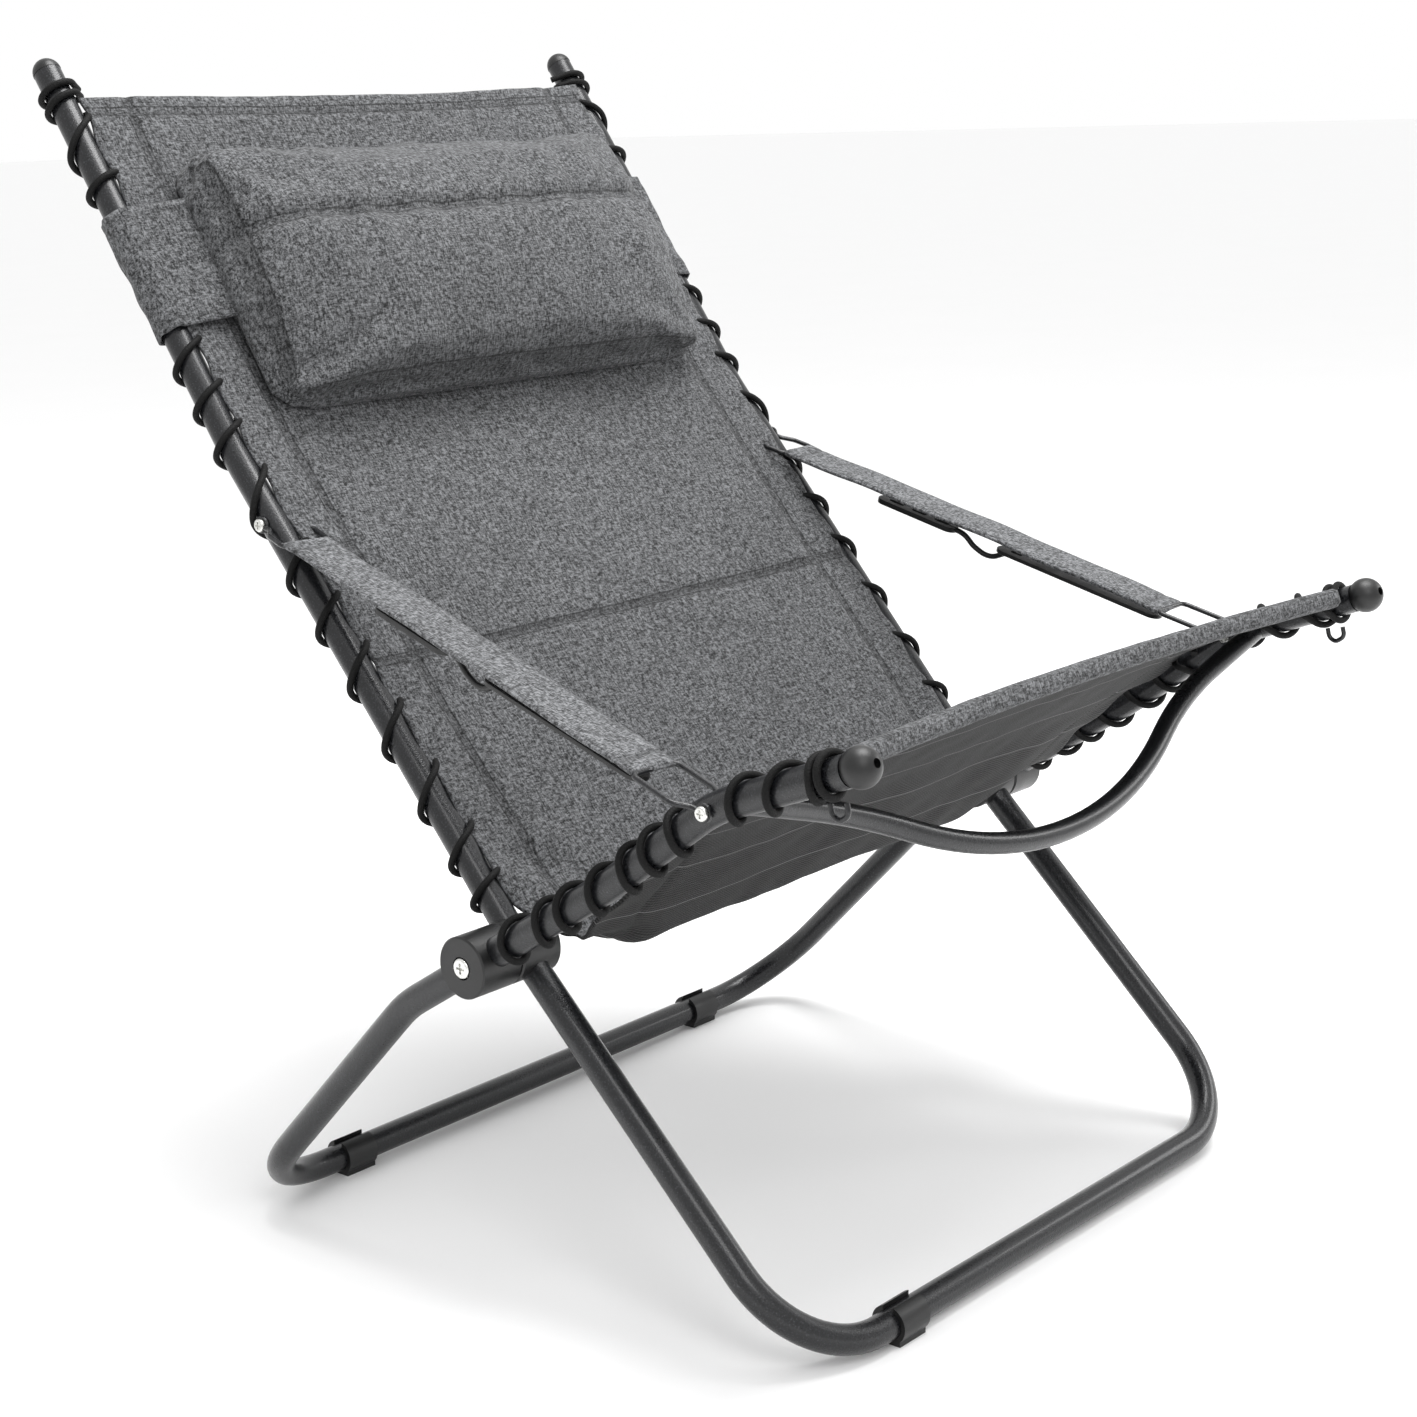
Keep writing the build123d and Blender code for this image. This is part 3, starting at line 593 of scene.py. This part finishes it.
def remeshed(obj, voxel):
    modifier = obj.modifiers.new("remesh", "REMESH")
    modifier.mode = "VOXEL"
    modifier.voxel_size = voxel
    evaluated = obj.evaluated_get(bpy.context.evaluated_depsgraph_get())
    mesh = bpy.data.meshes.new_from_object(evaluated)
    obj.modifiers.remove(modifier)
    mesh.polygons.foreach_set("use_smooth", [True] * len(mesh.polygons))
    old = obj.data
    obj.data = mesh
    bpy.data.meshes.remove(old)


def rounded_box(name, half_x, height, depth, corner, material):
    """A flat box with rounded corners, its back on z = 0, in metres."""
    outline = []
    for cx, cy, start in ((1, 1, 0), (-1, 1, 90), (-1, -1, 180), (1, -1, 270)):
        for k in range(9):
            a = math.radians(start + 11.25 * k)
            px = cx * (half_x - corner) + corner * math.cos(a)
            py = height / 2 + cy * (height / 2 - corner) + corner * math.sin(a)
            outline.append((px, py))
    n = len(outline)
    vertices = [(x, y, 0.0) for x, y in outline]
    vertices += [(0.975 * x, height / 2 + 0.96 * (y - height / 2), depth) for x, y in outline]
    faces = [tuple(range(n))[::-1], tuple(range(n, 2 * n))]
    faces += [(i, (i + 1) % n, n + (i + 1) % n, n + i) for i in range(n)]
    return new_mesh(name, vertices, faces, [material])


def pillow():
    """A stuffed pillow: crowned front panel with a welted rim, a gusset and a quilted seam, the seam
    and the rim's groove darkened as painted shade.
    """
    half, height = PILLOW_HALF / 1000, PILLOW_H / 1000
    obj = rounded_box("pillow", half, height, PILLOW_DEPTH, 0.030, CLOTH)
    remeshed(obj, PILLOW_VOXEL)
    co = np.array([v.co for v in obj.data.vertices])
    across = 1 - np.clip(np.abs(co[:, 0]) / half, 0, 1) ** 5
    up = np.clip(co[:, 1] / height, 0, 1)
    crown = PILLOW_CROWN * across**0.6 * np.clip(4 * up**0.8 * (1 - up**0.8), 0, 1) ** 0.6
    flat_z = co[:, 2].copy()
    flare = 1.0 + PILLOW_FLARE * (1.0 - up)
    co[:, 0] *= flare
    co[:, 2] *= 0.55 + 0.45 * smoothstep(0.0, 0.5, up)
    co[:, 1] -= 0.008 * smoothstep(0.35, 0.0, up) * smoothstep(0.5, 1.0, flat_z / PILLOW_DEPTH)
    co[:, 2] += crown * smoothstep(0.7, 1.0, flat_z / PILLOW_DEPTH)
    co[:, 2] += 0.0012 * waves(co[:, 0], co[:, 1], 8, 0.03, 0.09, 5) * (flat_z > 0.02)
    flat_x = co[:, 0] / flare
    flat_y = up * height
    on_rim = groove(flat_z, PILLOW_DEPTH, 0.004)
    obj.data.vertices.foreach_set("co", co.ravel())
    simulate(obj, co[:, 2] < 0.004, 2.2, 20, 0.007)
    co = np.array([v.co for v in obj.data.vertices])
    normals = np.array([v.normal for v in obj.data.vertices])
    front = smoothstep(0.15, 0.5, normals[:, 2])
    inset = np.minimum(half - np.abs(flat_x), np.minimum(flat_y, height - flat_y))
    seam_y = (PILLOW_SEAM - 6.0 * np.cos(flat_x * 6.0)) / 1000
    quilt = groove(flat_y, seam_y, 0.012) * front
    rim = groove(inset, 0.006, 0.005) * (flat_z > 0.75 * PILLOW_DEPTH)
    welt = groove(inset, 0.0, 0.004) * (flat_z > 0.75 * PILLOW_DEPTH)
    co -= normals * (0.0060 * quilt + 0.0028 * rim - 0.0022 * welt)[:, None]
    pucker = 0.0012 * np.sin(flat_x / 0.0062 + 2 * np.sin(flat_x * 40))
    pucker *= groove(flat_y, seam_y, 0.034) * front
    slack = smoothstep(0.7, 0.1, normals[:, 2]) * smoothstep(0.004, 0.02, co[:, 2])
    slack *= 1.0 - 0.7 * on_rim
    pucker += 0.0026 * waves(co[:, 0] + co[:, 1], 1.6 * co[:, 2], 7, 0.018, 0.05, 9) * slack
    co += normals * pucker[:, None]
    obj.data.vertices.foreach_set("co", co.ravel())
    obj.data.update()
    on_front = flat_z > 0.7 * PILLOW_DEPTH
    off_seam = np.where(on_front, np.minimum(np.abs(flat_y - seam_y), np.abs(inset - RIM_INSET)), 1.0)
    # painted shade in the quilted seam and in the rim's stitched groove
    set_seam_shade_and_stitches(obj, np.maximum(0.4 * quilt, 0.6 * rim), off_seam)
    obj.data.transform(head_frame(SLING_LIFT + PANEL_HALF + 0.8))
    obj.data.update()
    smooth = obj.modifiers.new("smooth", "SUBSURF")
    smooth.levels = smooth.render_levels = 1
    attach(obj, "back_frame")
    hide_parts("headrest_pillow")
    return obj


pillow()

# ---- pillow bands ----
BAND_LOW, BAND_HIGH = 107.0, 214.0
BAND_LOOP = 14.2
BAND_T = 1.6


def band(side):
    """A cloth sleeve: from the pillow's side over the tube, round it and back under the front."""
    angles = np.radians(np.linspace(100.0, -205.0, 46))
    loop = np.column_stack([BACK_X + BAND_LOOP * np.cos(angles), BAND_LOOP * np.sin(angles)])
    tab = np.array([[228.0, 24.0], [240.0, 21.5], [252.0, 19.0], [264.0, 17.2], [275.0, 15.6]])
    section = np.vstack([tab, loop])
    rows = np.linspace(BAND_LOW, BAND_HIGH, 31)
    tangent = np.gradient(section, axis=0)
    tangent /= np.linalg.norm(tangent, axis=1)[:, None]
    out = np.column_stack([-tangent[:, 1], tangent[:, 0]])
    s, k = np.meshgrid(rows, np.arange(len(section)), indexing="ij")
    ripple = 1.0 * waves(s, 4.0 * k, 6, 22.0, 60.0, 11 if side > 0 else 12)
    ripple *= smoothstep(0, 6, k)
    hem = np.maximum(groove(s, BAND_LOW + 6, 2.5), groove(s, BAND_HIGH - 6, 2.5))
    surfaces = []
    for lift in (BAND_T / 2, -BAND_T / 2):
        shift = np.clip(ripple, -0.9, 2.0) + lift * (1 - 0.5 * hem)
        flat = section[None, :, :] + shift[..., None] * out[None, :, :]
        yz = KINK + s[..., None] * polar(1.0, HEAD_DEG) + flat[..., 1:] * polar(1.0, HEAD_DEG + 90.0)
        points = np.dstack([side * flat[..., 0], HUB_Y + yz[..., 0], HUB_Z + yz[..., 1]]) / 1000.0
        surfaces.append(points.reshape(-1, 3))
    upper, lower, rim = two_sided_faces(*s.shape)
    faces = upper + lower + rim
    name = "left" if side > 0 else "right"
    obj = new_mesh(f"pillow_band_{name}", np.vstack(surfaces), faces, [CLOTH])
    # painted shade along the two hems
    set_seam_shade_and_stitches(obj, np.concatenate([hem.ravel(), hem.ravel()]))
    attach(obj, "back_frame")
    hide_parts(f"headrest_band_{name}")
    return obj


band(1)
band(-1)

# ---- arms ----
SLEEVE_W = 42.0
SLEEVE_HALF = 2.4
ARM_LINE = ARM_FRONT - ARM_REAR
ARM_LENGTH = float(np.linalg.norm(ARM_LINE))


def arm_matrix(side):
    """Local X forward along the arm from the rear bolt, Y across, Z up from the arm's line."""
    start = place(side * BACK_X, ARM_REAR)
    end = place(side * SEAT_X, ARM_FRONT)
    ahead = (end - start).normalized()
    across = Vector((side, 0, 0))
    up = ahead.cross(across).normalized()
    if up.z < 0:
        up = -up
    across = up.cross(ahead)
    axes = Matrix((ahead, across, up)).transposed().to_4x4()
    return Matrix.Translation(start) @ axes


def sweep_section(name, stations, section_at, materials):
    """A closed tube of sections, each a loop of the same number of points."""
    loops = [section_at(s) for s in stations]
    n = len(loops[0])
    vertices = [p for loop in loops for p in loop]
    faces = []
    for i in range(len(loops) - 1):
        for j in range(n):
            a, b = i * n + j, i * n + (j + 1) % n
            faces.append((a, b, b + n, a + n))
    faces.append(tuple(range(n))[::-1])
    faces.append(tuple(range((len(loops) - 1) * n, len(loops) * n)))
    return new_mesh(name, vertices, faces, materials)


def sleeve(side):
    """The padded strap between the two cross wires, its ends folded round them."""
    name = "left" if side > 0 else "right"
    start, end = REAR_BAIL - 3.5, ARM_LENGTH - FRONT_BAIL + 3.5
    stations = np.linspace(start, end, 96)
    turns = np.radians(np.arange(0, 360, 7.5))

    def section_at(s):
        ends = min(s - start, end - s)
        swell = math.sqrt(max(0.08, 1 - max(0.0, 1 - ends / 3.6) ** 2))
        thick = (SLEEVE_HALF + 1.1 * math.exp(-ends / 9.0)) * swell
        stitched = 0.35 * math.exp(-((ends - 16.0) / 2.2) ** 2)
        width = SLEEVE_W / 2 * (1 - 0.03 * math.sin(s / 37.0 + side) ** 2)
        bow = 1.2 * math.sin((s - start) / (end - start) * math.pi) + 0.5 * math.sin(s / 19.0 + side)
        points = []
        for a in turns:
            c, d = math.cos(a), math.sin(a)
            y = width * math.copysign(abs(c) ** 0.35, c)
            z = thick * (1 - stitched) * math.copysign(abs(d) ** 0.6, d) + bow
            z += 0.35 * math.sin(s / 11.0 + 0.21 * y) * abs(d)
            points.append((s / 1000, y / 1000, z / 1000))
        return points

    obj = sweep_section(f"arm_sleeve_cloth_{name}", stations, section_at, [ARM_CLOTH_PAINTED_LIGHTER])
    depth = np.array([v.co.x for v in obj.data.vertices]) * 1000
    ends = np.minimum(depth - start, end - depth)
    width = np.abs(np.array([v.co.y for v in obj.data.vertices])) * 1000
    # painted shade in the stitched folds near the ends and along the side seams
    seam = np.maximum(groove(ends, 16.0, 2.5), 0.7 * groove(width, 18.4, 1.6))
    set_seam_shade_and_stitches(obj, seam)
    matrix = arm_matrix(side)
    obj.data.transform(matrix)
    obj.data.update()
    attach(obj, f"arm_strap_{name}")
    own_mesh(obj)
    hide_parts(f"arm_sleeve_{name}")
    return obj


sleeve(1)
sleeve(-1)


def wire(name, points, radius, material, matrix):
    """A rod through points, rounded at its corners, as a mesh in the frame."""
    curve = bpy.data.curves.new(name, "CURVE")
    curve.dimensions = "3D"
    curve.bevel_depth = radius / 1000
    curve.bevel_resolution = 4
    curve.use_fill_caps = True
    spline = curve.splines.new("BEZIER")
    spline.bezier_points.add(len(points) - 1)
    for knot, point in zip(spline.bezier_points, points):
        knot.co = Vector(point) / 1000
        knot.handle_left_type = knot.handle_right_type = "AUTO"
    temp = bpy.data.objects.new(name, curve)
    bpy.context.scene.collection.objects.link(temp)
    mesh = bpy.data.meshes.new_from_object(temp.evaluated_get(bpy.context.evaluated_depsgraph_get()))
    bpy.data.objects.remove(temp)
    mesh.transform(matrix)
    mesh.materials.append(material)
    mesh.polygons.foreach_set("use_smooth", [True] * len(mesh.polygons))
    obj = bpy.data.objects.new(name, mesh)
    bpy.context.scene.collection.objects.link(obj)
    return obj


def slotted_bar(name, x0, x1, y_half, z_low, z_high, slots, matrix):
    """A thin bar with rounded ends and a row of slots through it."""
    outline = []
    for cx, start in ((x1 - y_half, -90), (x0 + y_half, 90)):
        for k in range(13):
            a = math.radians(start + 15 * k)
            outline.append((cx + y_half * math.cos(a), y_half * math.sin(a)))
    curve = bpy.data.curves.new(name, "CURVE")
    curve.dimensions = "2D"
    curve.fill_mode = "BOTH"
    curve.extrude = (z_high - z_low) / 2000
    curve.bevel_depth = 0.0004
    loops = [outline]
    for centre, half_long, half_wide in slots:
        hole = []
        for k in range(24):
            a = 2 * math.pi * k / 24
            cx = math.copysign(half_long - half_wide, math.cos(a))
            hole.append((centre + cx + half_wide * math.cos(a), half_wide * math.sin(a)))
        loops.append(hole)
    for loop in loops:
        spline = curve.splines.new("POLY")
        spline.points.add(len(loop) - 1)
        for knot, (px, py) in zip(spline.points, loop):
            knot.co = (px / 1000, py / 1000, 0, 1)
        spline.use_cyclic_u = True
    temp = bpy.data.objects.new(name, curve)
    bpy.context.scene.collection.objects.link(temp)
    mesh = bpy.data.meshes.new_from_object(temp.evaluated_get(bpy.context.evaluated_depsgraph_get()))
    bpy.data.objects.remove(temp)
    mesh.transform(matrix @ Matrix.Translation((0, 0, (z_high + z_low) / 2000)))
    mesh.materials.append(BLACK)
    obj = bpy.data.objects.new(name, mesh)
    bpy.context.scene.collection.objects.link(obj)
    return obj


def adjuster(side):
    """Slotted bar, wire hook and tail strap under the arm, which set how far the back leans."""
    name = "left" if side > 0 else "right"
    matrix = arm_matrix(side)
    base = 0.40 * ARM_LENGTH
    pieces = [
        slotted_bar(f"arm_bar_{name}", base - 60, base + 22, 8.0, -13.0, -9.5,
                    [(base - 42, 8.0, 3.0), (base - 18, 8.0, 3.0), (base + 6, 8.0, 3.0)], matrix),
        wire(f"arm_hook_{name}", [(base + 14, 0, -11), (base + 30, 0, -12), (base + 44, 0, -19),
                                  (base + 60, 0, -21), (base + 74, 0, -13)], 2.4, BLACK, matrix),
        slotted_bar(f"arm_tail_{name}", base + 66, ARM_LENGTH - FRONT_BAIL - 4, 9.0, -12.0, -9.6,
                    [(base + 84, 6.0, 2.5)], matrix),
    ]
    for piece in pieces:
        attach(piece, f"arm_strap_{name}")
        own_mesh(piece)
    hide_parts(f"arm_adjuster_{name}")


adjuster(1)
adjuster(-1)


# ---- floor and light ----
def light(name, location, target, size, power):
    """A square area light, aimed at target."""
    data = bpy.data.lights.new(name, "AREA")
    data.shape = "SQUARE"
    data.size = size
    data.energy = power
    obj = bpy.data.objects.new(name, data)
    obj.location = location
    obj.rotation_mode = "QUATERNION"
    aim = Vector(target) - Vector(location)
    obj.rotation_quaternion = aim.to_track_quat("-Z", "Y")
    bpy.context.scene.collection.objects.link(obj)


def studio():
    """A plain pale floor, a white world and three soft lights."""
    s = Shader("floor")
    dust = s.noise(s.coords(), 3.0, 3.0, 0.5)
    colour = s.ramp(dust, [(0.0, grey(0.94)), (1.0, grey(0.96))])
    material = s.finish(Base_Color=colour, Roughness=0.8, Specular_IOR_Level=0.1)
    size = 60.0
    corners = [(-size, -size, 0), (size, -size, 0), (size, size, 0), (-size, size, 0)]
    floor = new_mesh("floor", corners, [(0, 1, 2, 3)], [material], smooth=False)
    world = bpy.data.worlds.new("studio")
    world.use_nodes = True
    background = world.node_tree.nodes["Background"]
    background.inputs["Color"].default_value = (1.0, 1.0, 1.0, 1.0)
    background.inputs["Strength"].default_value = 1.0
    bpy.context.scene.world = world
    bpy.context.scene.view_settings.view_transform = "Standard"
    light("key", (-1.6, -2.2, 2.6), (0, 0, 0.45), 1.2, 26.0)
    light("top", (0.4, -0.3, 3.0), (0, 0, 0.4), 1.6, 95.0)
    light("side", (2.6, -1.4, 1.4), (0, 0, 0.4), 0.8, 12.0)


studio()
